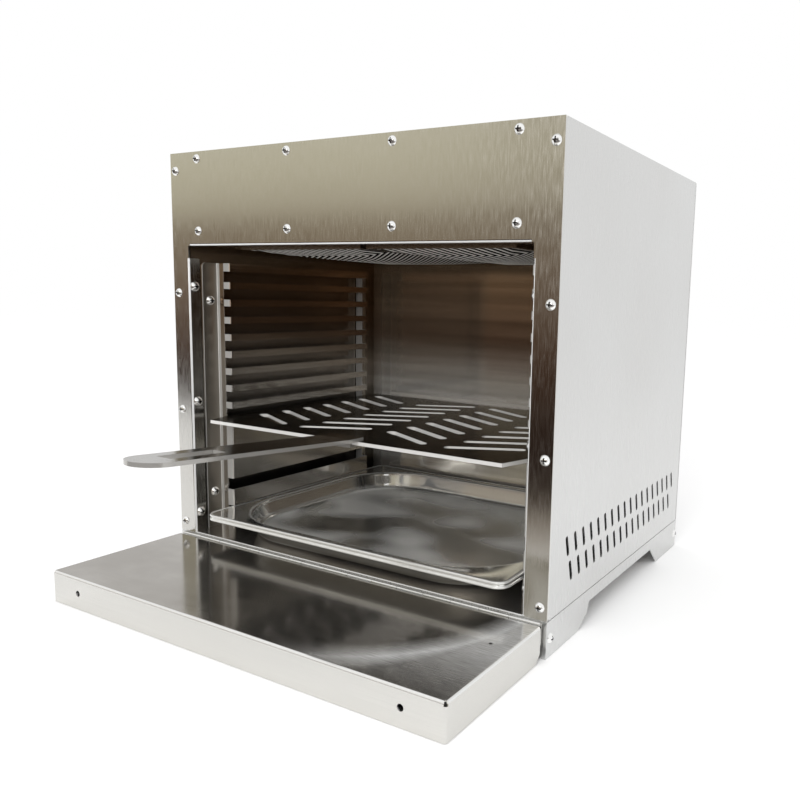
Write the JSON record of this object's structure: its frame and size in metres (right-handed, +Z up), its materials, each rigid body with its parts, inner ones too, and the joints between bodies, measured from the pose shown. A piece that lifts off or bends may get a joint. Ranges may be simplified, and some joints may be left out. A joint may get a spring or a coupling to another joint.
{
  "type": "portable gas grill",
  "caption": "Open-fronted stainless overhead gas grill with slotted racks, a slanted-slot grate and its lifter, a drip pan, a folding front shelf and a side control.",
  "frame": {"origin": "middle of the foot of the front rail, on the table, in the casing's front plane", "axes": "+X to the right as seen from the front, +Y from the front to the back, +Z up"},
  "size_m": [0.4206, 0.529, 0.381],
  "materials": {
    "casing_steel": "brushed stainless sheet, grain upright",
    "panel_steel": "brushed stainless sheet",
    "cavity_steel": "brushed stainless sheet, straw tinted by heat",
    "grate_steel": "satin stainless plate",
    "pan_steel": "polished drawn stainless",
    "screw_steel": "bright screw heads",
    "ceramic": "dull porous ceramic",
    "brass": "turned brass",
    "black_plastic": "matte moulded",
    "red_plastic": "gloss moulded",
    "lead_rubber": "silicone sleeve"
  },
  "bodies": {
    "casing": {"base": "panel_steel", "floor_panel": "cavity_steel", "front_panel": "casing_steel", "left_panel": "panel_steel", "right_panel": "panel_steel", "top_panel": "panel_steel", "back_panel": "panel_steel", "left_liner": "cavity_steel", "right_liner": "cavity_steel", "back_liner": "cavity_steel", "burner_carrier": "cavity_steel", "left_rack": "cavity_steel", "right_rack": "cavity_steel", "left_burner_housing": "cavity_steel", "right_burner_housing": "cavity_steel", "left_burner_tile": "ceramic", "right_burner_tile": "ceramic", "left_mixing_tube": "cavity_steel", "right_mixing_tube": "cavity_steel", "gas_manifold": "brass", "injectors": "brass", "gas_valve": "brass", "gas_inlet": "brass", "inlet_locknut": "brass", "igniter_body": "black_plastic", "igniter_nut": "black_plastic", "electrode": "ceramic", "ignition_lead": "lead_rubber", "hinge_rail_leaf": "casing_steel", "hinge_pin": "casing_steel", "header_screws": "screw_steel", "column_screws": "screw_steel", "return_screws": "screw_steel", "rack_screws": "screw_steel", "base_screws": "screw_steel", "back_screws": "screw_steel"},
    "shelf": {"shelf": "casing_steel", "hinge_shelf_leaf": "casing_steel"},
    "grate": {"grate": "grate_steel"},
    "lifter": {"lifter": "grate_steel"},
    "pan": {"drip_pan": "pan_steel"},
    "control": {"valve_spindle": "brass", "control_knob": "black_plastic"},
    "button": {"igniter_button": "red_plastic"}
  },
  "joints": [
    {"name": "grate_slide", "type": "slide", "parent": "casing", "child": "grate", "axis": [0, 1, 0], "range_m": [-0.15, 0.01]},
    {"name": "lifter_unhook", "type": "slide", "parent": "grate", "child": "lifter", "axis": [0, 1, 0], "range_m": [-0.06, 0]},
    {"name": "pan_slide", "type": "slide", "parent": "casing", "child": "pan", "axis": [0, 1, 0], "range_m": [-0.2, 0]},
    {"name": "shelf_hinge", "type": "hinge", "parent": "casing", "child": "shelf", "pos_m": [0, -0.00165, 0.0267], "axis": [-1, 0, 0], "range_deg": [0, 65]},
    {"name": "knob_turn", "type": "hinge", "parent": "casing", "child": "control", "pos_m": [-0.1975, 0.284, 0.326], "axis": [-1, 0, 0], "range_deg": [0, 210]},
    {"name": "igniter_press", "type": "slide", "parent": "casing", "child": "button", "axis": [1, 0, 0], "range_m": [0, 0.005], "stiffness_N_per_m": 800, "springref_m": -0.004}
  ]
}
